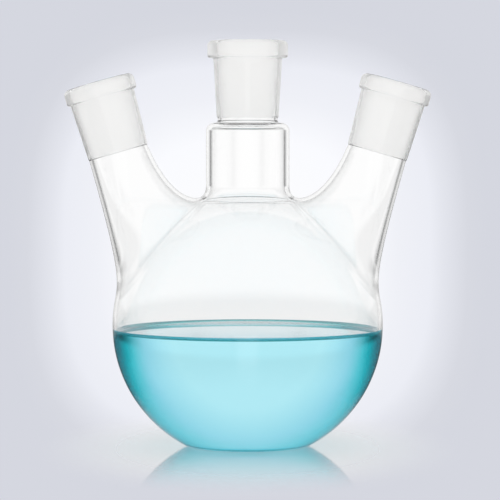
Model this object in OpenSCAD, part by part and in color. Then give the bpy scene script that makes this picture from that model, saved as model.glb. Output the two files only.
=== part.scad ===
// Three-neck flask: a round body with a flat foot, one straight centre neck with a stepped
// shoulder and two tilted side necks that flare into the body. Each neck ends in a ground
// taper socket with a beaded rim. A liquid stands in the lower half.
// Millimetres, +Z up, origin on the bench at the middle of the foot. The necks lie in XZ.

/* [Body] */
// Outside diameter of the round body
body_d = 105; // [98:1:115]
// Glass thickness of the body
body_wall = 1.4; // [1:0.1:2]
// Diameter of the flat foot at the outer edge of its ring
foot_d = 42.4; // [38:0.2:50]
// Radius that rolls the foot into the body
foot_round = 9; // [6:0.5:11]
// Glass thickness of the bottom
base_wall = 1.8; // [1.5:0.1:2.5]
// Diameter of the hollow under the foot
kick_d = 34; // [26:1:35]
// Height of the hollow under the foot
kick_h = 0.8; // [0.4:0.1:1.4]

/* [Centre neck] */
// Outside diameter of the centre tube
neck_d = 32.4; // [30:0.2:36]
// Glass thickness of the centre tube
neck_wall = 1.8; // [1.4:0.1:2.2]
// Height of the shoulder above the top of the round body
neck_rise = 26; // [20:0.5:40]
// Radius of the blend between body and centre tube
neck_root = 5.5; // [4:0.5:7]
// Radius of the outer edge of the shoulder
shoulder_round = 3; // [2.5:0.1:3.4]
// Outside diameter of the waist between shoulder and socket
waist_d = 23.2; // [22.8:0.1:23.6]
// Glass thickness of the waist
waist_wall = 1.2; // [1.1:0.1:1.5]
// Length of the waist
waist_len = 2.2; // [1.6:0.1:5]
// Radius of the blend between shoulder and waist
waist_round = 1.1; // [0.8:0.1:1.4]

/* [Centre socket] */
// Bore at the mouth of the centre socket
centre_mouth_d = 24; // [23.8:0.1:24.4]
// Length of the centre socket with its rim
centre_socket_len = 29.6; // [26:0.1:36]
// Outside diameter of the centre socket at its lower end
centre_end_d = 24; // [23.8:0.1:24.6]
// Outside diameter of the centre socket under its rim
centre_top_d = 26.6; // [26.2:0.1:27.6]
// Outside diameter of the centre rim
centre_rim_d = 31.2; // [29.8:0.1:33]
// Height of the centre rim
centre_rim_h = 6.7; // [5:0.1:8]

/* [Side necks] */
// Tilt of each side neck from the vertical
side_tilt = 16; // [12:0.5:20]
// Distance of each side socket's lower end from the middle of the flask
side_reach = 50.3; // [48:0.1:54]
// Height of each side socket's lower end above the top of the round body
side_rise = 14.9; // [12:0.1:22]
// Outside diameter of each side tube where it meets its socket
side_d = 23.4; // [23.2:0.1:23.6]
// Glass thickness of the side tubes
side_wall = 1.4; // [1.2:0.1:1.6]
// Angle from the vertical where a side neck leaves the body on its outer side
side_root_low = 79; // [74:0.5:82]
// Angle from the vertical where a side neck leaves the body on its inner side
side_root_high = 18; // [17:0.5:24]
// Length of the bend that leaves the body on the outer side
side_bend_low = 8; // [5:0.5:12]
// Length of the bend that leaves the body on the inner side
side_bend_high = 14; // [9:0.5:16]
// Length of straight tube below the socket on the outer side
side_run_low = 42; // [34:0.5:46]
// Length of straight tube below the socket on the inner side
side_run_high = 1.5; // [0:0.5:6]

/* [Side sockets] */
// Bore at the mouth of each side socket
side_mouth_d = 24; // [23.8:0.1:24.2]
// Length of each side socket with its rim
side_socket_len = 27.9; // [26:0.1:36]
// Outside diameter of each side socket at its lower end
side_end_d = 23.8; // [23.7:0.1:24.6]
// Outside diameter of each side socket under its rim
side_top_d = 25.4; // [25.2:0.1:27]
// Outside diameter of each side rim
side_rim_d = 28; // [27.6:0.1:31]
// Height of each side rim
side_rim_h = 6.1; // [5:0.1:8]

/* [Rims and sockets] */
// Taper of the ground bores, as a length over the change of diameter
taper = 10; // [10:1:12]
// Radius of the outer top edge of a rim
rim_round = 1.9; // [1:0.1:2.2]
// Radius of the lower edge of a rim
rim_under = 1.1; // [0.6:0.1:1.6]
// Radius of the blend under a rim
rim_blend = 0.6; // [0.3:0.1:0.8]
// Radius of the inner edge of a mouth
lip_round = 0.7; // [0.4:0.1:0.9]

/* [Liquid] */
// Height of the liquid's surface above the bench
liquid_level = 44.4; // [20:0.1:50]
// Height that the liquid climbs where it meets the glass
meniscus = 1.4; // [0.6:0.1:2]
// Space between liquid and glass
liquid_gap = 0.03; // [0.02:0.01:0.1]

/* [Hidden] */
$fn = 96;

past = 1;          // how far a cut runs past the face that it opens
sink = 0.2;        // how far a blend reaches into the faces that it joins
lap = 1.5;         // how far a side tube reaches up inside its socket
root_dip = 0.35;   // how far a side neck's foot lies inside the body
root_lift = 8;     // angle at which a side neck comes out of the body's surface
rings = 13;        // steps along a side neck
facets = 40;       // sides around a side neck

body_r = body_d / 2;
centre_z = foot_round + sqrt(pow(body_r - foot_round, 2) - pow(foot_d / 2, 2));
body_top = centre_z + body_r;
shoulder_z = body_top + neck_rise;
socket_z = shoulder_z + waist_len;
shoulder_wall = (neck_wall + waist_wall) / 2;

// Where a circle of radius r, rolled inside the body against a floor, has its middle
function roll_x(r, floor_z, body) = sqrt(pow(body - r, 2) - pow(centre_z - floor_z - r, 2));
// Where a blend of radius r, rolled on the outside of the body against a tube, has its middle
function blend_z(r, tube, body) = centre_z + sqrt(pow(body + r, 2) - pow(tube + r, 2));

// ---- flat sections, drawn to the right of the flask's axis ----

// The rounded tip of a disc between two directions; its point is set back to overlap its neighbours
module slice(r, from, to, back = 0.3) {
    mid = (from + to) / 2;
    point = -back * r * [cos(mid), sin(mid)];
    function beyond(turn) = 3 * r * [cos(turn), sin(turn)] - 2 * point;
    intersection() {
        circle(r);
        polygon([point, beyond(from), 3 * r * [cos(mid), sin(mid)], beyond(to)]);
    }
}

// A rectangle between two opposite corners
module block(x0, z0, x1, z1) {
    translate([x0, z0]) square([x1 - x0, z1 - z0]);
}

// The filled inside corner between an upright wall on its left and a level face below it
module blend_above(r) {
    difference() {
        translate([-sink, -sink]) square(r + sink);
        translate([r, r]) circle(r);
    }
}

// Round body on a flat foot
module body_section(r, floor_z, round_r) {
    foot_x = roll_x(round_r, floor_z, r);
    turn = atan2(floor_z + round_r - centre_z, foot_x);
    translate([0, centre_z]) slice(r, turn, 90, 0);
    block(0, floor_z, foot_x, centre_z);
    translate([foot_x, floor_z + round_r]) slice(round_r, -90, turn);
}

// Centre tube with its blended root, its rounded shoulder and the waist on top
module neck_section(r, tube, root, top_z, round_r, waist, waist_blend) {
    root_z = blend_z(root, tube, r);
    touch = [tube + root, root_z - centre_z] * r / (r + root);
    difference() {
        polygon([[0, centre_z], [touch.x, centre_z + touch.y], [tube + root, root_z], [0, root_z]]);
        translate([tube + root, root_z]) circle(root);
    }
    block(0, root_z, tube, top_z - round_r);
    block(0, root_z, tube - round_r, top_z);
    translate([tube - round_r, top_z - round_r]) slice(round_r, 0, 90);
    translate([waist, top_z]) blend_above(waist_blend);
    block(0, root_z, waist, socket_z + past);
}

// Outside of a socket, from its lower end up
module socket_section(len, end_r, top_r, rim_r, rim_h) {
    rim_z = len - rim_h;
    polygon([[0, 0], [end_r, 0], [top_r, rim_z], [top_r, rim_z + rim_under], [0, rim_z + rim_under]]);
    translate([top_r, rim_z]) mirror([0, 1]) blend_above(rim_blend);
    block(0, rim_z, rim_r - rim_under, len - rim_round);
    block(0, rim_z + rim_under, rim_r, len - rim_round);
    block(0, rim_z + rim_under, rim_r - rim_round, len);
    translate([rim_r - rim_under, rim_z + rim_under]) slice(rim_under, -90, 0);
    translate([rim_r - rim_round, len - rim_round]) slice(rim_round, 0, 90);
}

// Tapered bore of a socket, open at the top over a rounded lip
module bore_section(len, mouth_r, low) {
    slope = 1 / (2 * taper);
    polygon([
        [0, -low], [mouth_r - (len + low) * slope, -low], [mouth_r, len], [mouth_r, len + past], [0, len + past]
    ]);
    translate([mouth_r - lip_round * slope, len]) mirror([0, 1]) blend_above(lip_round);
    block(0, len, mouth_r + lip_round, len + past);
}

// ---- side necks ----

side_foot = [side_reach, 0, body_top + side_rise];
side_axis = [sin(side_tilt), 0, cos(side_tilt)];
side_out = [cos(side_tilt), 0, -sin(side_tilt)];
root_tilt = (side_root_low + side_root_high) / 2;
root_spread = (side_root_low - side_root_high) / 2;
root_axis = [sin(root_tilt), 0, cos(root_tilt)];
root_out = [cos(root_tilt), 0, -sin(root_tilt)];

// A point at share s of the way along a curve that leaves a towards b and arrives at d from c
function bend(a, b, c, d, s) =
    pow(1 - s, 3) * a + 3 * s * pow(1 - s, 2) * b + 3 * s * s * (1 - s) * c + pow(s, 3) * d;

// One line of a side neck from the body up to its socket; turn is 0 on the outer side
function neck_line(turn, body, tube, longer) =
    let (
        low = (1 + cos(turn)) / 2,
        leave = longer + side_bend_high + (side_bend_low - side_bend_high) * low,
        arrive = longer + lap + side_run_high + (side_run_low - side_run_high) * low,
        spoke = root_out * cos(turn) + [0, sin(turn), 0],
        out = root_axis * cos(root_spread) + spoke * sin(root_spread),
        along = root_axis * sin(root_spread) - spoke * cos(root_spread),
        start = [0, 0, centre_z] + out * (body - root_dip),
        finish = side_foot + side_axis * lap + (side_out * cos(turn) + [0, sin(turn), 0]) * tube
    )
    [for (i = [0:rings])
        bend(start, start + (along * cos(root_lift) + out * sin(root_lift)) * leave,
             finish - side_axis * arrive, finish, i / rings)];

// A side neck as a closed form between the body and the inside of its socket
module neck_loft(body, tube, longer) {
    lines = [for (k = [0:facets - 1]) neck_line(360 * k / facets, body, tube, longer)];
    points = [for (i = [0:rings]) for (k = [0:facets - 1]) lines[k][i]];
    walls = [
        for (i = [0:rings - 1]) for (k = [0:facets - 1])
            let (a = i * facets + k, b = i * facets + (k + 1) % facets)
            each [[a, a + facets, b], [b, a + facets, b + facets]]
    ];
    bottom = [for (k = [0:facets - 1]) k];
    top = [for (k = [0:facets - 1]) rings * facets + facets - 1 - k];
    polyhedron(points = points, faces = concat(walls, [bottom, top]), convexity = 4);
}

module on_side_axis() {
    translate(side_foot) rotate([0, side_tilt, 0]) children();
}

module side_solid() {
    neck_loft(body_r, side_d / 2, 0);
    on_side_axis() rotate_extrude()
        socket_section(side_socket_len, side_end_d / 2, side_top_d / 2, side_rim_d / 2, side_rim_h);
}

module side_hollow() {
    neck_loft(body_r - body_wall, side_d / 2 - side_wall, side_wall);
    on_side_axis() rotate_extrude() bore_section(side_socket_len, side_mouth_d / 2, 0);
}

module both_sides() {
    children();
    mirror([1, 0, 0]) children();
}

// ---- whole vessel ----

// The shallow dome that lifts the middle of the bottom by kick_h
module kick_dome(floor_z) {
    dome_r = (pow(kick_d / 2, 2) + kick_h * kick_h) / (2 * kick_h);
    translate([0, floor_z]) intersection() {
        translate([0, kick_h - dome_r]) circle(dome_r, $fn = 360);
        translate([0, -past]) square([kick_d, kick_h + past]);
    }
}

module outside() {
    rotate_extrude() {
        difference() {
            body_section(body_r, 0, foot_round);
            kick_dome(0);
        }
        neck_section(body_r, neck_d / 2, neck_root, shoulder_z, shoulder_round, waist_d / 2, waist_round);
        translate([0, socket_z])
            socket_section(centre_socket_len, centre_end_d / 2, centre_top_d / 2, centre_rim_d / 2, centre_rim_h);
    }
    both_sides() side_solid();
}

module body_hollow_section(gap = 0) {
    difference() {
        body_section(body_r - body_wall - gap, base_wall + gap, foot_round - body_wall - gap);
        kick_dome(base_wall + gap);
    }
}

module inside() {
    rotate_extrude() {
        body_hollow_section();
        neck_section(body_r - body_wall, neck_d / 2 - neck_wall, neck_root + neck_wall,
                     shoulder_z - shoulder_wall, shoulder_round - shoulder_wall,
                     waist_d / 2 - waist_wall, waist_round + waist_wall);
        translate([0, socket_z]) bore_section(centre_socket_len, centre_mouth_d / 2, 0);
    }
    both_sides() side_hollow();
}

module flask() {
    color([0.9, 0.95, 0.97, 0.35]) difference() {
        outside();
        inside();
    }
}

// Liquid in the bottom of the body, drawn up in a thin curved edge along the glass
module liquid() {
    wall_r = body_r - body_wall - liquid_gap;
    edge_z = liquid_level + meniscus;
    edge_x = sqrt(wall_r * wall_r - pow(edge_z - centre_z, 2));
    curl = 1.6 * meniscus;
    color([0.25, 0.78, 0.88, 0.8]) rotate_extrude() difference() {
        intersection() {
            body_hollow_section(liquid_gap);
            block(0, 0, body_r, edge_z);
        }
        block(-past, liquid_level, edge_x - curl, edge_z + past);
        translate([edge_x - curl, liquid_level + curl]) circle(curl);
    }
}

flask();
liquid();
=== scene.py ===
from math import atan2, cos, degrees, pi, radians, sin, sqrt

import bpy
import numpy as np
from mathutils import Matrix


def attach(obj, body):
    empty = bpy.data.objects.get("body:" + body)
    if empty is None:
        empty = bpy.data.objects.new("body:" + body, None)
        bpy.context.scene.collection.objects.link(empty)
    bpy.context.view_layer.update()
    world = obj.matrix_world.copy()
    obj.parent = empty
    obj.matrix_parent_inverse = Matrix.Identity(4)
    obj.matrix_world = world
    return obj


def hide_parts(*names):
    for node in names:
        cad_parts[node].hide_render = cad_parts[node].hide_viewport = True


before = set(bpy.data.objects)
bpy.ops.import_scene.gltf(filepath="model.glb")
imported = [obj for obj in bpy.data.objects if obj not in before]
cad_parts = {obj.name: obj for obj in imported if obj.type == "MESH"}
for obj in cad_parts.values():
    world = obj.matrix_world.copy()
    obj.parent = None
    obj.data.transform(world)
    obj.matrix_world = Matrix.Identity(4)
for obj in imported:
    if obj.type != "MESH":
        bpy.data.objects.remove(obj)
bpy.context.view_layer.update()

mm = 0.001
scene = bpy.context.scene
scene.view_settings.view_transform = "Standard"

cameraLook = {
    "distance": 965,  # mm from the flask's axis
    "height": 115,  # mm above the bench
    "aim": (0.9, 76.2),  # mm across and up, the point over the axis in the middle of the picture
    "lens": 179.1, "sensor": 36, "near": 10,  # mm
}


def addCamera(look):
    data = bpy.data.cameras.new("camera")
    data.lens = look["lens"]
    data.sensor_width = look["sensor"]
    data.clip_start = look["near"] * mm
    camera = bpy.data.objects.new("camera", data)
    camera.location = (0, -look["distance"] * mm, look["height"] * mm)
    down = atan2(look["height"] - look["aim"][1], look["distance"])
    turn = atan2(look["aim"][0], look["distance"])
    camera.rotation_euler = (pi / 2 - down, 0, -turn)
    scene.collection.objects.link(camera)
    scene.camera = camera


addCamera(cameraLook)
print("camera placed")

# sizes of the glass in mm and degrees
body = {"r": 52.5, "wall": 1.4, "footR": 21.2, "footRound": 9, "baseWall": 1.8, "kickR": 17, "kickH": 0.8}
centreNeck = {
    "r": 16.2, "wall": 1.8, "rise": 26, "root": 5.5, "round": 3,
    "waistR": 11.6, "waistWall": 1.2, "waistLen": 2.2, "waistRound": 1.1,
}
centreSocket = {"len": 29.6, "mouthR": 12, "endR": 12, "topR": 13.3, "rimR": 15.6, "rimH": 6.7, "blend": 0.6}
sideNeck = {
    "tilt": 16, "reach": 50.3, "rise": 14.9, "r": 11.7, "wall": 1.4, "lap": 1.5,
    "rootLow": 79, "rootHigh": 18, "bendLow": 8, "bendHigh": 14, "runLow": 42, "runHigh": 1.5,
    "fit": 2.5,  # the length over which the tube turns truly round below its socket
    "margin": 0.55,  # degrees of body wall left out round a neck's foot, and closed again with triangles
}
sideSocket = {"len": 27.9, "mouthR": 12, "endR": 11.9, "topR": 12.7, "rimR": 14, "rimH": 6.1, "blend": 0.2}
edges = {"round": 1.9, "under": 1.1, "lip": 0.7, "taper": 1 / 20, "step": 0.5, "seam": 0.02, "seamUp": 0.3}
detail = {  # steps in mm along a wall and in degrees round an arc
    "around": 160, "neckAround": 128, "bendSteps": 44, "wallStep": 2.2, "arcStep": 8,
    "bodyStep": 2.2, "footStep": 4, "domeStep": 0.8, "curveStep": 11, "lipStep": 15, "blendStep": 18,
    "rimStep": 6, "topStep": 4,
}
samePlace = 0.02  # mm, closer rows of an outline become one
onAxis = 1e-6

bodyZ = body["footRound"] + sqrt((body["r"] - body["footRound"]) ** 2 - body["footR"] ** 2)
shoulderZ = bodyZ + body["r"] + centreNeck["rise"]
socketZ = shoulderZ + centreNeck["waistLen"]
domeR = (body["kickR"] ** 2 + body["kickH"] ** 2) / (2 * body["kickH"])
clear, ground, wetted, drawn = 0, 1, 2, 3  # the finishes of the glass, by material slot

# an outline is rows of (radius, height, normal across, normal up, finish of the wall that follows),
# and the material lies to the left of the way that it runs


def arc(x, z, r, start, end, kind=clear, step=None):
    turns = np.linspace(start, end, max(3, int(abs(end - start) / (step or detail["arcStep"])) + 2))
    side = 1 if end > start else -1
    return [(x + r * cos(radians(t)), z + r * sin(radians(t)), side * cos(radians(t)), side * sin(radians(t)), kind)
            for t in turns]


def line(x0, z0, x1, z1, kind=clear, step=None):
    long = sqrt((x1 - x0) ** 2 + (z1 - z0) ** 2)
    shares = np.linspace(0, 1, int(long / (step or detail["wallStep"])) + 2)
    return [(x0 + (x1 - x0) * s, z0 + (z1 - z0) * s, (z1 - z0) / long, (x0 - x1) / long, kind) for s in shares]


def ease(x0, z0, x1, z1, kind=clear):  # a small rounded step in an upright wall
    rows = []
    for s in np.linspace(0, 1, 7):
        slope = 6 * s * (1 - s) * (x1 - x0)
        size = sqrt(slope * slope + (z1 - z0) ** 2)
        rows.append((x0 + (x1 - x0) * s * s * (3 - 2 * s), z0 + (z1 - z0) * s, (z1 - z0) / size, -slope / size, kind))
    return rows


def joined(*parts):
    rows = []
    for part in parts:
        for row in part:
            if rows and abs(rows[-1][0] - row[0]) + abs(rows[-1][1] - row[1]) < samePlace:
                nx, nz = rows[-1][2] + row[2], rows[-1][3] + row[3]
                size = sqrt(nx * nx + nz * nz)
                rows[-1] = (rows[-1][0], rows[-1][1], nx / size, nz / size, row[4])
            else:
                rows.append(row)
    return rows


def socketRows(s, base, tubeR, boreR):  # up the outside of a socket, over its rim and down its ground bore
    top, rimZ, up = base + s["len"], base + s["len"] - s["rimH"], edges["under"]
    mouth = s["mouthR"] - edges["lip"] * edges["taper"]
    low, end = s["mouthR"] - s["len"] * edges["taper"], s["endR"] + edges["seam"]
    return joined(
        ease(tubeR, base - edges["step"], end, base + edges["seamUp"]),
        line(end, base + edges["seamUp"], s["topR"], rimZ - s["blend"]),
        arc(s["topR"] + s["blend"], rimZ - s["blend"], s["blend"], 180, 90, step=detail["blendStep"]),
        line(s["topR"] + s["blend"], rimZ, s["rimR"] - up, rimZ),
        arc(s["rimR"] - up, rimZ + up, up, -90, 0, step=detail["curveStep"]),
        line(s["rimR"], rimZ + up, s["rimR"], top - edges["round"]),
        arc(s["rimR"] - edges["round"], top - edges["round"], edges["round"], 0, 90),
        line(s["rimR"] - edges["round"], top, mouth + edges["lip"], top),
        arc(mouth + edges["lip"], top - edges["lip"], edges["lip"], 90, 180, step=detail["lipStep"]),
        line(mouth, top - edges["lip"], low, base, ground),
        ease(low, base, boreR, base - edges["step"]),
    )


def blendTop(tube, root, r):  # how high a blend's middle lies when it rolls on the body against a tube
    return bodyZ + sqrt((r + root) ** 2 - (tube + root) ** 2)


def rollX(r, floorZ, radius):  # how far out a foot's radius has its middle when it rolls in the body
    return sqrt((radius - r) ** 2 - (bodyZ - floorZ - r) ** 2)


def outsideRows():  # from the middle of the foot up to the waist
    r, n, root = body["r"], centreNeck, centreNeck["root"]
    dome = degrees(atan2(domeR - body["kickH"], body["kickR"]))
    turn = degrees(atan2(body["footRound"] - bodyZ, body["footR"]))
    rootZ = blendTop(n["r"], root, r)
    touch = degrees(atan2(rootZ - bodyZ, n["r"] + root))
    w = n["waistR"] + n["waistRound"]
    return joined(
        arc(0, body["kickH"] - domeR, domeR, 90, dome, step=detail["domeStep"]),
        line(body["kickR"], 0, body["footR"], 0),
        arc(body["footR"], body["footRound"], body["footRound"], -90, turn, step=detail["footStep"]),
        arc(0, bodyZ, r, turn, touch, step=detail["bodyStep"]),
        arc(n["r"] + root, rootZ, root, touch + 180, 180),
        line(n["r"], rootZ, n["r"], shoulderZ - n["round"]),
        arc(n["r"] - n["round"], shoulderZ - n["round"], n["round"], 0, 90),
        line(n["r"] - n["round"], shoulderZ, w, shoulderZ),
        arc(w, shoulderZ + n["waistRound"], n["waistRound"], 270, 180, step=detail["curveStep"]),
        line(n["waistR"], shoulderZ + n["waistRound"], n["waistR"], socketZ - edges["step"]),
    )


def insideRows():  # from the waist down to the middle of the bottom
    r, n = body["r"] - body["wall"], centreNeck
    tube, root, waist = n["r"] - n["wall"], n["root"] + n["wall"], n["waistR"] - n["waistWall"]
    thick = (n["wall"] + n["waistWall"]) / 2
    low, curl, turnR = shoulderZ - thick, n["waistRound"] + n["waistWall"], n["round"] - thick
    rootZ = blendTop(tube, root, r)
    touch = degrees(atan2(rootZ - bodyZ, tube + root))
    footR, floor = body["footRound"] - body["wall"], body["baseWall"]
    footX = rollX(footR, floor, r)
    turn = degrees(atan2(floor + footR - bodyZ, footX))
    edge = degrees(atan2(edgeZ - bodyZ, sqrt(r * r - (edgeZ - bodyZ) ** 2)))
    dome = degrees(atan2(domeR - body["kickH"], body["kickR"]))
    return joined(
        line(waist, socketZ - edges["step"], waist, low + curl),
        arc(waist + curl, low + curl, curl, 180, 270),
        line(waist + curl, low, tube - turnR, low),
        arc(tube - turnR, low - turnR, turnR, 90, 0, drawn, detail["curveStep"]),
        line(tube, low - turnR, tube, rootZ, drawn),
        arc(tube + root, rootZ, root, 180, 180 + touch, drawn),
        arc(0, bodyZ, r, touch, edge, step=detail["bodyStep"]),
        arc(0, bodyZ, r, edge, turn, wetted, detail["bodyStep"]),
        arc(footX, floor + footR, footR, turn, -90, wetted, detail["footStep"]),
        line(footX, floor, body["kickR"], floor, wetted),
        arc(0, floor + body["kickH"] - domeR, domeR, dome, 90, wetted, detail["domeStep"]),
    )


class Shell:  # a mesh under work: points, normals and faces with their finish
    def __init__(self):
        self.points, self.normals, self.walls = np.zeros((0, 3)), np.zeros((0, 3)), np.zeros(0, int)
        self.faces, self.kinds = [], []

    def add(self, points, normals, wall=0):
        first = len(self.points)
        self.points = np.vstack([self.points, points])
        self.normals = np.vstack([self.normals, normals])
        self.walls = np.concatenate([self.walls, np.full(len(points), wall)])
        return first

    def face(self, corners, kind):
        self.faces.append(corners)
        self.kinds.append(kind)

    def grid(self, a, b, count, kind):  # a band of faces between two rings of points
        for k in range(count):
            j = (k + 1) % count
            self.face((a + k, a + j, b + j, b + k), kind)

    def piece(self, name, materials):  # turns the faces to their normals and makes the Blender object
        faces, edgeCount = [], {}
        for corners in self.faces:
            p, n = self.points[list(corners)], self.normals[list(corners)].sum(axis=0)
            facing = np.cross(p[1] - p[0], p[2] - p[0]) + (np.cross(p[2] - p[0], p[3] - p[0]) if len(p) > 3 else 0)
            faces.append(corners if facing @ n > 0 else corners[::-1])
        used = np.zeros(len(self.points), bool)
        for corners in faces:
            used[list(corners)] = True
        place = np.cumsum(used) - 1
        mesh = bpy.data.meshes.new(name)
        mesh.from_pydata((self.points[used] * mm).tolist(), [], [[int(place[c]) for c in f] for f in faces])
        for material in materials:
            mesh.materials.append(material)
        mesh.polygons.foreach_set("material_index", self.kinds)
        mesh.polygons.foreach_set("use_smooth", [True] * len(faces))
        mesh.update()
        mesh.normals_split_custom_set_from_vertices(unit(self.normals[used]).tolist())
        made = bpy.data.objects.new(name, mesh)
        scene.collection.objects.link(made)
        for f in faces:
            for edge in zip(f, f[1:] + f[:1]):
                edge = tuple(sorted(edge))
                edgeCount[edge] = edgeCount.get(edge, 0) + 1
        openEdges = sum(1 for shared in edgeCount.values() if shared != 2)
        print(name, len(faces), "faces,", openEdges, "open edges")
        return made


def unit(v):
    return v / np.maximum(np.linalg.norm(v, axis=-1, keepdims=True), 1e-12)


def smooth(s):
    s = np.clip(s, 0, 1)
    return s * s * (3 - 2 * s)


def spin(shell, rows, count, split=None, foot=None, axis=None, out=None, side=None):
    # rings of an outline round an axis, the body's own unless another is given
    foot = np.zeros(3) if foot is None else foot
    axis, out, side = (np.eye(3)[2], np.eye(3)[0], np.eye(3)[1]) if axis is None else (axis, out, side)
    turns = 2 * pi * np.arange(count) / count
    spokes = out * np.cos(turns)[:, None] + side * np.sin(turns)[:, None]
    starts = []
    for i, (x, z, nx, nz, kind) in enumerate(rows):
        wall = 0 if split is None or i < split else 1
        if x < onAxis:
            starts.append(shell.add([foot + axis * z], [axis * (1 if nz > 0 else -1)], wall))
        else:
            starts.append(shell.add(foot + axis * z + spokes * x, spokes * nx + axis * nz, wall))
    return starts


def panels(rows, starts, count):  # the faces between the rings of an outline, each with its row
    for i in range(len(rows) - 1):
        a, b = starts[i], starts[i + 1]
        for k in range(count):
            j = (k + 1) % count
            if rows[i][0] < onAxis:
                yield i, (a, b + j, b + k)
            elif rows[i + 1][0] < onAxis:
                yield i, (a + k, a + j, b)
            else:
                yield i, (a + k, a + j, b + j, b + k)


def neckFrame():  # the lower end of the right socket, the neck's axis and the two ways across it
    tilt = radians(sideNeck["tilt"])
    foot = np.array([sideNeck["reach"], 0, bodyZ + body["r"] + sideNeck["rise"]])
    return foot, np.array([sin(tilt), 0, cos(tilt)]), np.array([cos(tilt), 0, -sin(tilt)]), np.array([0, 1.0, 0])


def neckLines(bodyR, tubeR, longer):  # the four control points of every line along the right neck
    n, turns = sideNeck, 2 * pi * np.arange(detail["neckAround"]) / detail["neckAround"]
    c, s = np.cos(turns)[:, None], np.sin(turns)[:, None]
    foot, axis, out, side = neckFrame()
    mid, spread = radians((n["rootLow"] + n["rootHigh"]) / 2), radians((n["rootLow"] - n["rootHigh"]) / 2)
    rootAxis, rootOut = np.array([sin(mid), 0, cos(mid)]), np.array([cos(mid), 0, -sin(mid)])
    low = (1 + c) / 2
    leave = longer + n["bendHigh"] + (n["bendLow"] - n["bendHigh"]) * low
    arrive = longer + n["lap"] + n["runHigh"] + (n["runLow"] - n["runHigh"]) * low
    spoke = rootOut * c + side * s
    start = np.array([0, 0, bodyZ]) + (rootAxis * cos(spread) + spoke * sin(spread)) * bodyR
    along = rootAxis * sin(spread) - spoke * cos(spread)
    finish = foot + axis * n["lap"] + (out * c + side * s) * tubeR
    return start, start + along * leave, finish - axis * arrive, finish


def bend(lines, s):  # the point at share s of each line
    s = s[:, None]
    start, leave, arrive, finish = lines
    return (1 - s) ** 3 * start + 3 * s * (1 - s) ** 2 * leave + 3 * s * s * (1 - s) * arrive + s ** 3 * finish


def between(test, low, high):  # where along each line the test stops being true
    for _ in range(40):  # halvings
        mid = (low + high) / 2
        hit = test(mid)
        low, high = np.where(hit, mid, low), np.where(hit, high, mid)
    return (low + high) / 2


def neckWall(r, tubeR, longer, centreTube, root):
    # rings of one wall from the body to the socket, with normals off the neck's own axis
    lines = neckLines(r, tubeR, longer)
    foot, axis, out, side = neckFrame()
    count, steps = detail["neckAround"], detail["bendSteps"]
    turns = 2 * pi * np.arange(count) / count
    spokes = out * np.cos(turns)[:, None] + side * np.sin(turns)[:, None]
    rootX, rootZ = centreTube + root, blendTop(centreTube, root, r)

    def covered(s):  # still under the blend of the centre neck
        p = bend(lines, s)
        across = np.hypot(p[:, 0], p[:, 1])
        return (across < rootX * r / (r + root)) & (np.hypot(across - rootX, p[:, 2] - rootZ) > root)

    # each line starts where it comes out of that blend, looked for from far along it, and ends below the socket
    first, far, looks = np.zeros(count), 0.6, 121
    for s in np.linspace(far, 0, looks):
        first = np.where(covered(np.full(count, s)) & (first == 0), s, first)
    first = np.where(first > 0, between(covered, first, first + 0.006), 0)
    last = between(lambda s: (bend(lines, s) - foot) @ axis < -edges["step"], np.full(count, far / 2), np.ones(count))
    rings = []
    for share in np.linspace(0, 1, steps + 1):
        p = bend(lines, first + (last - first) * share)
        up = (p - foot) @ axis
        fit = smooth((up + sideNeck["fit"]) / (sideNeck["fit"] - edges["step"]))[:, None]
        rings.append(p + (foot + axis * up[:, None] + spokes * tubeR - p) * fit)
    rings = np.array(rings)
    normals = unit(np.cross(np.roll(rings, -1, axis=1) - np.roll(rings, 1, axis=1), np.gradient(rings, axis=0)))
    normals[-1] = spokes
    free = first < 1e-4
    normals[0][free] = unit(rings[0] - np.array([0, 0, bodyZ]))[free]
    return rings, normals, rings[0][~free]


def chart(points):  # the angle off the neck's root axis and the turn round it, from the middle of the body
    mid = radians((sideNeck["rootLow"] + sideNeck["rootHigh"]) / 2)
    way = unit(np.asarray(points) - np.array([0, 0, bodyZ]))
    x = np.abs(way[:, 0])
    off = np.arccos(np.clip(x * sin(mid) + way[:, 2] * cos(mid), -1, 1))
    return off, np.arctan2(way[:, 1], x * cos(mid) - way[:, 2] * sin(mid))


def border(faces):  # the closed line round a patch of faces
    follow = set()
    for corners in faces:
        for a, b in zip(corners, corners[1:] + corners[:1]):
            if (b, a) in follow:
                follow.remove((b, a))
            else:
                follow.add((a, b))
    after = dict(follow)
    loop = [min(after)]
    while after[loop[-1]] != loop[0]:
        loop.append(after[loop[-1]])
    print("hole with", len(loop), "edges of", len(follow))
    return loop


def zipUp(shell, one, two):  # triangles between two closed lines that run the same way round
    a, b = shell.points[one], shell.points[two]
    start = int(np.argmin(np.linalg.norm(b - a[0], axis=1)))
    two, b = two[start:] + two[:start], np.roll(b, -start, axis=0)
    i, j, never = 0, 0, 1e9
    while i < len(one) or j < len(two):
        i0, j0, i1, j1 = i % len(one), j % len(two), (i + 1) % len(one), (j + 1) % len(two)
        stepOne = np.linalg.norm(a[i1] - b[j0]) if i < len(one) else never
        stepTwo = np.linalg.norm(a[i0] - b[j1]) if j < len(two) else never
        if stepOne <= stepTwo:
            shell.face((one[i0], one[i1], two[j0]), clear)
            i += 1
        else:
            shell.face((one[i0], two[j1], two[j0]), clear)
            j += 1


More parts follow.
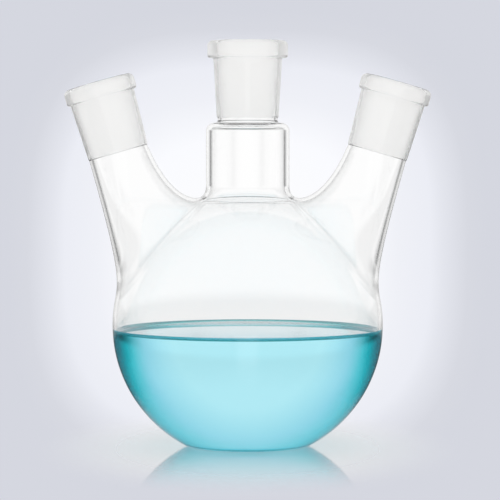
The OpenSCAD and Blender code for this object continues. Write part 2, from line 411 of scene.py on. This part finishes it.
def soften(shell, creases, reach=3.5, height=15, passes=14, pull=0.6):
    # rounds the meeting of two swept walls, and takes the normals there from the faces
    weight = np.zeros(len(shell.points))
    for wall, points in creases:
        near = np.flatnonzero((shell.walls == wall) & (np.abs(shell.points[:, 2] - points[:, 2].mean()) < height))
        gap = np.linalg.norm(shell.points[near][:, None] - points[None], axis=2).min(axis=1)
        weight[near] = np.maximum(weight[near], smooth(1 - gap / reach))
    beside, bands = {}, []
    for corners in shell.faces:
        if weight[list(corners)].max() > 0:
            bands.append(corners)
            for a, b in zip(corners, corners[1:] + corners[:1]):
                beside.setdefault(a, set()).add(b)
                beside.setdefault(b, set()).add(a)
    moving = [v for v in beside if weight[v] > 0]
    for _ in range(passes):
        mean = np.array([shell.points[list(beside[v])].mean(axis=0) for v in moving])
        shell.points[moving] += (mean - shell.points[moving]) * (pull * weight[moving])[:, None]
    fresh = np.zeros_like(shell.points)
    for corners in bands:
        p = shell.points[list(corners)]
        n = np.cross(p[2] - p[0], p[-1] - p[1]) if len(p) > 3 else np.cross(p[1] - p[0], p[2] - p[0])
        n = n if n @ shell.normals[list(corners)].sum(axis=0) > 0 else -n
        fresh[list(corners)] += n
    share = smooth(weight[moving] * 2)[:, None]
    shell.normals[moving] = unit(unit(fresh[moving]) * share + shell.normals[moving] * (1 - share))


def flaskShell():  # the whole flask as one closed wall of glass
    shell = Shell()
    outside = joined(outsideRows(), socketRows(centreSocket, socketZ, centreNeck["waistR"],
                                               centreNeck["waistR"] - centreNeck["waistWall"]))
    rows = joined(outside, insideRows())
    lip = max(i for i, row in enumerate(rows) if row[1] > shoulderZ)
    count = detail["around"]
    starts = spin(shell, rows, count, split=lip)
    walls = (
        neckWall(body["r"], sideNeck["r"], 0, centreNeck["r"], centreNeck["root"]),
        neckWall(body["r"] - body["wall"], sideNeck["r"] - sideNeck["wall"], sideNeck["wall"],
                 centreNeck["r"] - centreNeck["wall"], centreNeck["root"] + centreNeck["wall"]),
    )
    off, turn = chart(shell.points)
    gone = np.zeros(len(shell.points), bool)
    for wall in (0, 1):
        ringOff, ringTurn = chart(walls[wall][0][0])
        order = np.argsort(ringTurn)
        limit = np.interp(turn, ringTurn[order], ringOff[order], period=2 * pi)
        gone |= (shell.walls == wall) & (off < limit + radians(sideNeck["margin"]))
    holes = {}
    for i, corners in panels(rows, starts, count):
        if gone[list(corners)].any():
            side = 1 if shell.points[corners[0]][0] > 0 else -1
            holes.setdefault((0 if i < lip else 1, side), []).append(corners)
        else:
            shell.face(corners, rows[i][4])
    print("flask body,", len(rows), "rings")
    foot, axis, out, across = neckFrame()
    count = detail["neckAround"]
    creases = []
    for side in (1, -1):
        flip = np.array([side, 1, 1])
        ends = []
        for wall, (rings, normals, crossing) in enumerate(walls):
            turned = 1 if wall == 0 else -1
            first = [shell.add(ring * flip, n * flip * turned, wall) for ring, n in zip(rings, normals)]
            for a, b in zip(first, first[1:]):
                shell.grid(a, b, count, drawn if wall else clear)
            loop = border(holes[(wall, side)])
            turns = chart(shell.points[loop])[1]
            steps = (np.roll(turns, -1) - turns + pi) % (2 * pi) - pi
            if steps.sum() < 0:
                loop = loop[::-1]
            zipUp(shell, loop, list(range(first[0], first[0] + count)))
            ends.append(first[-1])
            creases.append((wall, crossing * flip))
        rows = socketRows(sideSocket, 0, sideNeck["r"], sideNeck["r"] - sideNeck["wall"])[1:-1]
        rims = spin(shell, rows, count, None, foot * flip, axis * flip, out * flip, across)
        lip = max(i for i, row in enumerate(rows) if row[4] == ground)
        for a, b, row in zip([ends[0]] + rims, rims + [ends[1]], [rows[0]] + rows):
            shell.grid(a, b, count, row[4])
    soften(shell, creases)
    return shell


liquidShape = {"level": 44.4, "meniscus": 1.4, "curl": 2.24, "gap": 0.03}  # mm
edgeZ = liquidShape["level"] + liquidShape["meniscus"]


def liquidShell():  # up the wall from the middle of the bottom, over the climbing edge and in to the middle
    shell, shape = Shell(), liquidShape
    gap, curl, floor = shape["gap"], shape["curl"], body["baseWall"] + shape["gap"]
    r, footR = body["r"] - body["wall"], body["footRound"] - body["wall"]
    footX = rollX(footR, body["baseWall"], r)
    turn = degrees(atan2(body["baseWall"] + footR - bodyZ, footX))
    dome = degrees(atan2(domeR - body["kickH"], body["kickR"]))
    edgeX = sqrt((r - gap) ** 2 - (edgeZ - bodyZ) ** 2)
    under = shape["level"] + curl - edgeZ  # the climbing edge is an arc that ends this far under its middle
    rise = degrees(atan2(under, sqrt(curl ** 2 - under ** 2)))
    side, top, rim = 0, 1, 2
    rows = joined(
        arc(0, floor + body["kickH"] - domeR, domeR, 90, dome, side, detail["domeStep"]),
        line(body["kickR"], floor, footX, floor, side),
        arc(footX, body["baseWall"] + footR, footR - gap, -90, turn, side, detail["footStep"]),
        arc(0, bodyZ, r - gap, turn, degrees(atan2(edgeZ - bodyZ, edgeX)), side, detail["bodyStep"]),
        line(edgeX, edgeZ, edgeX - curl + curl * cos(radians(rise)), edgeZ, rim),
        arc(edgeX - curl, shape["level"] + curl, curl, -rise, -90, rim, detail["rimStep"]),
        line(edgeX - curl, shape["level"], 0, shape["level"], top, detail["topStep"]),
    )
    starts = spin(shell, rows, detail["around"])
    for i, corners in panels(rows, starts, detail["around"]):
        shell.face(corners, rows[i][4])
    return shell


def paint(code):  # an sRGB hex colour as the linear one that a shader takes
    parts = [int(code[i:i + 2], 16) / 255 for i in (0, 2, 4)]
    return tuple(c / 12.92 if c <= 0.04045 else ((c + 0.055) / 1.055) ** 2.4 for c in parts) + (1,)


def addNode(tree, kind, inputs={}, places=(), **settings):  # places: where a colour ramp has which colour
    node = tree.nodes.new(kind)
    for name, value in settings.items():
        setattr(node, name, value)
    for name, value in inputs.items():
        if isinstance(value, bpy.types.Node):
            value = value.outputs[0]
        if isinstance(value, bpy.types.NodeSocket):
            tree.links.new(value, node.inputs[name])
        else:
            node.inputs[name].default_value = value
    for k in range(2, len(places)):
        node.color_ramp.elements.new(0.5)
    for k, (at, colour) in enumerate(places):
        node.color_ramp.elements[k].position, node.color_ramp.elements[k].color = at, colour
    return node


def newMaterial(name):
    material = bpy.data.materials.new(name)
    material.use_nodes = True
    material.node_tree.nodes.clear()
    return material, material.node_tree


def letLampsThrough(tree, shader, tint):  # lamps pass, faintly dimmed, so the glass throws a light shadow
    clearWay = addNode(tree, "ShaderNodeBsdfTransparent", {"Color": tint})
    path = addNode(tree, "ShaderNodeLightPath")
    mixed = addNode(tree, "ShaderNodeMixShader", {0: path.outputs["Is Shadow Ray"], 1: shader.outputs[0],
                                                  2: clearWay.outputs[0]})
    addNode(tree, "ShaderNodeOutputMaterial", {"Surface": mixed.outputs[0]})


glassLook = {
    "face": "FFFFFF", "edge": "545C5A", "paintedShadeFacing": (0.78, 1.0),  # painted shade at the glass's edges, by how far the eye glances along the wall
    "drawnPaintedShade": "2C3331", "drawnPaintedShadeFacing": (0.50, 0.96),  # a darker painted shade at the edges of the tubes' bores
    "ior": 1.474, "liquidIor": 1.333,
    "shadow": "F7F9FA",  # what is left of a lamp's light behind each wall
}


def blownGlass(name, ior, edge, paintedShadeFacing):
    # borosilicate glass, blown and fire-polished: clear, sharp reflections, and a grey-green painted shade where the
    # eye glances along the wall
    material, tree = newMaterial(name)
    facing = addNode(tree, "ShaderNodeLayerWeight", {"Blend": 0.5})
    paintedShadeShare = addNode(tree, "ShaderNodeMapRange", {0: facing.outputs["Facing"], 1: paintedShadeFacing[0], 2: paintedShadeFacing[1]},
                     interpolation_type="SMOOTHSTEP")
    colour = addNode(tree, "ShaderNodeMix", {0: paintedShadeShare.outputs[0], 6: paint(glassLook["face"]), 7: paint(edge)},
                     data_type="RGBA")
    shader = addNode(tree, "ShaderNodeBsdfPrincipled", {
        "Base Color": colour.outputs[2], "Roughness": 0.0, "IOR": ior, "Transmission Weight": 1.0})
    letLampsThrough(tree, shader, paint(glassLook["shadow"]))
    return material


groundLook = {
    "colour": "FFFEFD", "rough": (0.30, 0.42), "transmits": 0.78,
    "grain": 0.25, "depth": 0.02, "bump": 0.5,  # grain and depth in mm
}


def groundGlass():
    # the ground face of a taper socket, cut with grit: white and matt, light passes but no shape does
    material, tree = newMaterial("groundGlass")
    place = addNode(tree, "ShaderNodeTexCoord")
    # real grit is about 0.05 mm, too fine to show, so the grain is drawn five times coarser
    grain = addNode(tree, "ShaderNodeTexNoise", {
        "Vector": place.outputs["Object"], "Scale": 1 / (groundLook["grain"] * mm), "Detail": 2.0, "Roughness": 0.6})
    low, high = groundLook["rough"]
    rough = addNode(tree, "ShaderNodeMapRange", {0: grain.outputs[0], 3: low, 4: high})
    bump = addNode(tree, "ShaderNodeBump", {"Height": grain.outputs[0], "Distance": groundLook["depth"] * mm,
                                            "Strength": groundLook["bump"]})
    shader = addNode(tree, "ShaderNodeBsdfPrincipled", {
        "Base Color": paint(groundLook["colour"]), "Roughness": rough.outputs[0], "IOR": glassLook["ior"],
        "Transmission Weight": groundLook["transmits"], "Normal": bump.outputs[0]})
    letLampsThrough(tree, shader, paint(glassLook["shadow"]))
    return material


liquidLook = {
    "wall": [(0.10, "B6F0FA"), (0.20, "8BD9EC"), (0.258, "50CFDD"), (0.291, "10B8C4"), (0.33, "1E8E9E"),
             (0.4, "2A8A98")],  # painted shade: the dye's cyan darkens to teal by how far the eye glances along the wall
    "foot": 0.5, "footRange": (2, 38),  # how much of that painted shade is left at the foot, and over which heights in mm
    # the top's pale cyan, a little darker where the eye glances along it, by the same painted shade
    "top": [(0.0, "D9F5FA"), (1.0, "D0ECF1")],
    "rimPaintedShade": [(0.0, "0A5C63"), (0.45, "127C86"), (0.8, "5FA6B4"), (1.0, "C2D6DE")],  # painted shade, dark teal to pale grey up the climbing edge, seen from below
    "rimPaintedReflection": "FFCFC8",  # a painted reflection: takes the dye's own colour out, so the climbing edge shows grey from above as if light glanced off it
    "shadow": "EAFAFD",
    "paintedGlow": "95DFEB", "turns": 7.5,  # the colour of a painted glow for caught light, and how many surfaces a path meets before the glow is painted
}


def dyedWater(name, colours, ior):
    # water with a little cyan dye, poured: clear and wet, with a painted shade that deepens it to teal where the eye
    # looks along its edge
    material, tree = newMaterial(name)
    # painted shade: the ramp darkens the dye's colour by how far the eye glances along the surface, weaker towards the
    # foot
    facing = addNode(tree, "ShaderNodeLayerWeight", {"Blend": 0.5})
    place = addNode(tree, "ShaderNodeTexCoord")
    height = addNode(tree, "ShaderNodeSeparateXYZ", {0: place.outputs["Object"]})
    bottom, top = liquidLook["footRange"]
    low = addNode(tree, "ShaderNodeMapRange", {0: height.outputs[2], 1: bottom * mm, 2: top * mm,
                                               3: liquidLook["foot"], 4: 1.0})
    part = addNode(tree, "ShaderNodeMath", {0: facing.outputs["Facing"], 1: low.outputs[0]}, operation="MULTIPLY")
    ramp = addNode(tree, "ShaderNodeValToRGB", {0: part}, [(at, paint(code)) for at, code in colours])
    shader = addNode(tree, "ShaderNodeBsdfPrincipled", {
        "Base Color": ramp.outputs[0], "Roughness": 0.0, "IOR": ior, "Transmission Weight": 1.0})
    # light that is caught inside and turns round the wall again and again ends as a painted glow in the dye's colour
    path = addNode(tree, "ShaderNodeLightPath")
    caught = addNode(tree, "ShaderNodeMath", {0: path.outputs["Ray Depth"], 1: liquidLook["turns"]},
                     operation="GREATER_THAN")
    paintedGlow = addNode(tree, "ShaderNodeEmission", {"Color": paint(liquidLook["paintedGlow"]), "Strength": 1.0})
    ended = addNode(tree, "ShaderNodeMixShader", {0: caught, 1: shader, 2: paintedGlow})
    letLampsThrough(tree, ended, paint(liquidLook["shadow"]))
    return material


def waterRim():
    # the same water where it climbs the glass: a thin wedge with painted shade, dark teal from below, and a painted
    # pale grey reflection from above
    material, tree = newMaterial("dyedWaterRim")
    place = addNode(tree, "ShaderNodeTexCoord")
    height = addNode(tree, "ShaderNodeSeparateXYZ", {0: place.outputs["Object"]})
    share = addNode(tree, "ShaderNodeMapRange", {0: height.outputs[2], 1: liquidShape["level"] * mm, 2: edgeZ * mm})
    below = addNode(tree, "ShaderNodeValToRGB", {0: share}, [(at, paint(code)) for at, code in liquidLook["rimPaintedShade"]])
    side = addNode(tree, "ShaderNodeNewGeometry")
    bends = addNode(tree, "ShaderNodeMapRange", {0: side.outputs["Backfacing"], 3: glassLook["liquidIor"], 4: 1.0})
    colour = addNode(tree, "ShaderNodeMix", {0: side.outputs["Backfacing"], 6: paint(liquidLook["rimPaintedReflection"]),
                                             7: below.outputs[0]}, data_type="RGBA")
    shader = addNode(tree, "ShaderNodeBsdfPrincipled", {
        "Base Color": colour.outputs[2], "Roughness": 0.0, "IOR": bends.outputs[0], "Transmission Weight": 1.0})
    letLampsThrough(tree, shader, paint(liquidLook["shadow"]))
    return material


floorLook = {
    "colour": "DADBDE", "rough": 0.03,
    "radius": 160, "rings": 12, "around": 64, "drop": 0.05,  # mm, and it lies a hair below the foot
    "full": 40, "gone": 115, "stretch": (1.35, 0.8, 1),  # mm, where it shows in full and where not at all
}


def addFloor():
    # a white lacquered table top: pale, with a soft sheen that mirrors what stands on it
    look, shell = floorLook, Shell()
    rows = [(r, -look["drop"], 0, 1, 0) for r in np.linspace(0, look["radius"], look["rings"])]
    for _, corners in panels(rows, spin(shell, rows, look["around"]), look["around"]):
        shell.face(corners, 0)
    material, tree = newMaterial("lacqueredTable")
    place = addNode(tree, "ShaderNodeTexCoord")
    scaled = addNode(tree, "ShaderNodeVectorMath", {0: place.outputs["Object"], 1: look["stretch"]},
                     operation="MULTIPLY")
    away = addNode(tree, "ShaderNodeVectorMath", {0: scaled.outputs[0]}, operation="LENGTH")
    shown = addNode(tree, "ShaderNodeMapRange", {0: away.outputs["Value"], 1: look["full"] * mm, 2: look["gone"] * mm,
                                                 3: 1.0, 4: 0.0}, interpolation_type="SMOOTHSTEP")
    shader = addNode(tree, "ShaderNodeBsdfPrincipled", {
        "Base Color": paint(look["colour"]), "Roughness": look["rough"], "IOR": 1.5})
    nothing = addNode(tree, "ShaderNodeBsdfTransparent")
    mixed = addNode(tree, "ShaderNodeMixShader", {0: shown.outputs[0], 1: nothing.outputs[0], 2: shader.outputs[0]})
    addNode(tree, "ShaderNodeOutputMaterial", {"Surface": mixed.outputs[0]})
    table = shell.piece("table", [material])


studio = {
    "fill": 0.75,  # what falls on matt things from all round
    "above": 0.97, "below": 0.82, "between": (-12.0, 10.0),  # what the glass shows high and low, and degrees up between
    "band": [(-16, 0), (-9, 1), (-5.2, 1), (-4.5, 0), (-3.3, 0), (-2.9, 1), (1.6, 1), (3.2, 0)],  # flags, by degrees up
    "flags": [(0, 1.0), (22, 1.0), (28, 0.92), (33, 0.77), (38, 0.54), (42, 0.32), (45, 0.22), (48, 0.25), (53, 0.5),
              (59, 0.75), (66, 0.92), (90, 0.96)],  # by degrees off straight ahead or behind
    "bench": (-6.0, -2.5),  # degrees up: below these the glass mirrors the dark front of the bench
    "benchDark": [(0, 1.0), (6, 1.0), (12, 0.1), (60, 0.1), (80, 0.85), (90, 0.85)],
    "behind": [(0, 0.985), (110, 0.965), (150, 0.88), (183, 0.85), (195, 0.79), (208, 0.74), (220, 0.695), (240, 0.68)],
    "behindLow": -2.3,  # degrees up, where the bright patch behind the flask is centred
    "reach": 300, "pixel": 0.023,  # the outermost radius of the patch, and the unit of its radii in degrees
    "redLoss": 1 / 11300, "blueGain": 1 / 2500,  # how the patch turns cooler outwards, for each unit
    "repeat": 22.5,  # degrees, half of the turn after which the patch comes again
}


def addWorld():
    world = bpy.data.worlds.new("studio")
    scene.world = world
    world.use_nodes = True
    tree = world.node_tree
    tree.nodes.clear()
    inDegrees = 180 / pi
    way = addNode(tree, "ShaderNodeTexCoord").outputs["Generated"]
    x, y, z = addNode(tree, "ShaderNodeSeparateXYZ", {0: way}).outputs
    rise = addNode(tree, "ShaderNodeMath", {0: z}, operation="ARCSINE")
    up = addNode(tree, "ShaderNodeMath", {0: rise, 1: inDegrees}, operation="MULTIPLY")

    # seen through the glass: bright, with dark flags at the sides of a level band
    across = addNode(tree, "ShaderNodeMath", {0: x}, operation="ABSOLUTE")
    along = addNode(tree, "ShaderNodeMath", {0: y}, operation="ABSOLUTE")
    side = addNode(tree, "ShaderNodeMath", {0: across, 1: along}, operation="ARCTAN2")
    share = addNode(tree, "ShaderNodeMath", {0: side, 1: inDegrees / 90}, operation="MULTIPLY")
    flags = addNode(tree, "ShaderNodeValToRGB", {0: share}, [(at / 90, (v, v, v, 1)) for at, v in studio["flags"]])
    low, high = studio["between"]
    rest = addNode(tree, "ShaderNodeMapRange", {0: up, 1: low, 2: high, 3: studio["below"], 4: studio["above"]})
    half = 20.0  # degrees up and down that the band's colour ramp spans
    height = addNode(tree, "ShaderNodeMapRange", {0: up, 1: -half, 2: half})
    level = addNode(tree, "ShaderNodeValToRGB", {0: height}, [
        ((at + half) / (2 * half), (v, v, v, 1)) for at, v in studio["band"]])
    through = addNode(tree, "ShaderNodeMix", {0: level, 6: rest, 7: flags}, data_type="RGBA").outputs[2]

    # mirrored off the glass: bright above, the bench's dark front below
    dark = addNode(tree, "ShaderNodeValToRGB", {0: share}, [(at / 90, (v, v, v, 1)) for at, v in studio["benchDark"]])
    under = addNode(tree, "ShaderNodeMapRange", {0: up, 1: studio["bench"][0], 2: studio["bench"][1], 3: 1.0, 4: 0.0})
    mirrored = addNode(tree, "ShaderNodeMix", {0: under, 6: rest, 7: dark}, data_type="RGBA").outputs[2]

    # seen straight: a bright patch with rounded corners that fades to pale blue-grey, the same every eighth of a turn
    about = addNode(tree, "ShaderNodeMath", {0: x, 1: y}, operation="ARCTAN2")
    aside = addNode(tree, "ShaderNodeMath", {0: about, 1: inDegrees}, operation="MULTIPLY")
    eighth = addNode(tree, "ShaderNodeMath", {0: aside, 1: studio["repeat"], 2: -studio["repeat"]},
                     operation="WRAP")
    below = addNode(tree, "ShaderNodeMath", {0: up, 1: studio["behindLow"]}, operation="SUBTRACT")
    wide = addNode(tree, "ShaderNodeMath", {0: eighth}, operation="ABSOLUTE")
    tall = addNode(tree, "ShaderNodeMath", {0: below}, operation="ABSOLUTE")
    wideCube = addNode(tree, "ShaderNodeMath", {0: wide, 1: 3.0}, operation="POWER")
    tallCube = addNode(tree, "ShaderNodeMath", {0: tall, 1: 3.0}, operation="POWER")
    cubes = addNode(tree, "ShaderNodeMath", {0: wideCube, 1: tallCube}, operation="ADD")
    away = addNode(tree, "ShaderNodeMath", {0: cubes, 1: 1 / 3}, operation="POWER")
    out = addNode(tree, "ShaderNodeMath", {0: away, 1: studio["reach"] * studio["pixel"]}, operation="DIVIDE")
    behind = addNode(tree, "ShaderNodeValToRGB", {0: out}, [
        (at / studio["reach"], (v * (1 - at * studio["redLoss"]), v, min(1, v * (1 + at * studio["blueGain"])), 1))
        for at, v in studio["behind"]])

    path = addNode(tree, "ShaderNodeLightPath")
    fill = studio["fill"]
    matt = addNode(tree, "ShaderNodeMix", {0: path.outputs["Is Glossy Ray"], 6: (fill, fill, fill, 1), 7: mirrored},
                   data_type="RGBA").outputs[2]
    glass = addNode(tree, "ShaderNodeMix", {0: path.outputs["Is Transmission Ray"], 6: matt, 7: through},
                    data_type="RGBA").outputs[2]
    seen = addNode(tree, "ShaderNodeMix", {0: path.outputs["Is Camera Ray"], 6: glass, 7: behind},
                   data_type="RGBA").outputs[2]
    shader = addNode(tree, "ShaderNodeBackground", {"Color": seen, "Strength": 1.0})
    addNode(tree, "ShaderNodeOutputWorld", {"Surface": shader})


lampLook = {"height": 900, "size": 700, "watts": 1.4}  # mm, mm, W


def addLamp():
    data = bpy.data.lights.new("softbox", "AREA")
    data.shape, data.size, data.energy = "DISK", lampLook["size"] * mm, lampLook["watts"]
    lamp = bpy.data.objects.new("softbox", data)
    lamp.location = (0, 0, lampLook["height"] * mm)
    lamp.visible_glossy = lamp.visible_transmission = lamp.visible_camera = False
    scene.collection.objects.link(lamp)


flask = flaskShell().piece("flask_glass", [
    blownGlass("blownBorosilicate", glassLook["ior"], glassLook["edge"], glassLook["paintedShadeFacing"]),
    groundGlass(),
    blownGlass("blownBorosilicateWetted", glassLook["ior"] / glassLook["liquidIor"],  # water bends its light less
               glassLook["edge"], glassLook["paintedShadeFacing"]),
    blownGlass("drawnBorosilicateTube", glassLook["ior"], glassLook["drawnPaintedShade"], glassLook["drawnPaintedShadeFacing"]),
])
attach(flask, "root")
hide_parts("flask")
print("flask built")

water = liquidShell().piece("dyed_water", [
    dyedWater("dyedWater", liquidLook["wall"], 1.0),  # its wall only tints: the wetted glass does the bending
    dyedWater("dyedWaterTop", liquidLook["top"], glassLook["liquidIor"]),
    waterRim(),
])
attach(water, "root")
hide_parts("liquid")
print("liquid built")

addFloor()
addWorld()
addLamp()
print("studio built")
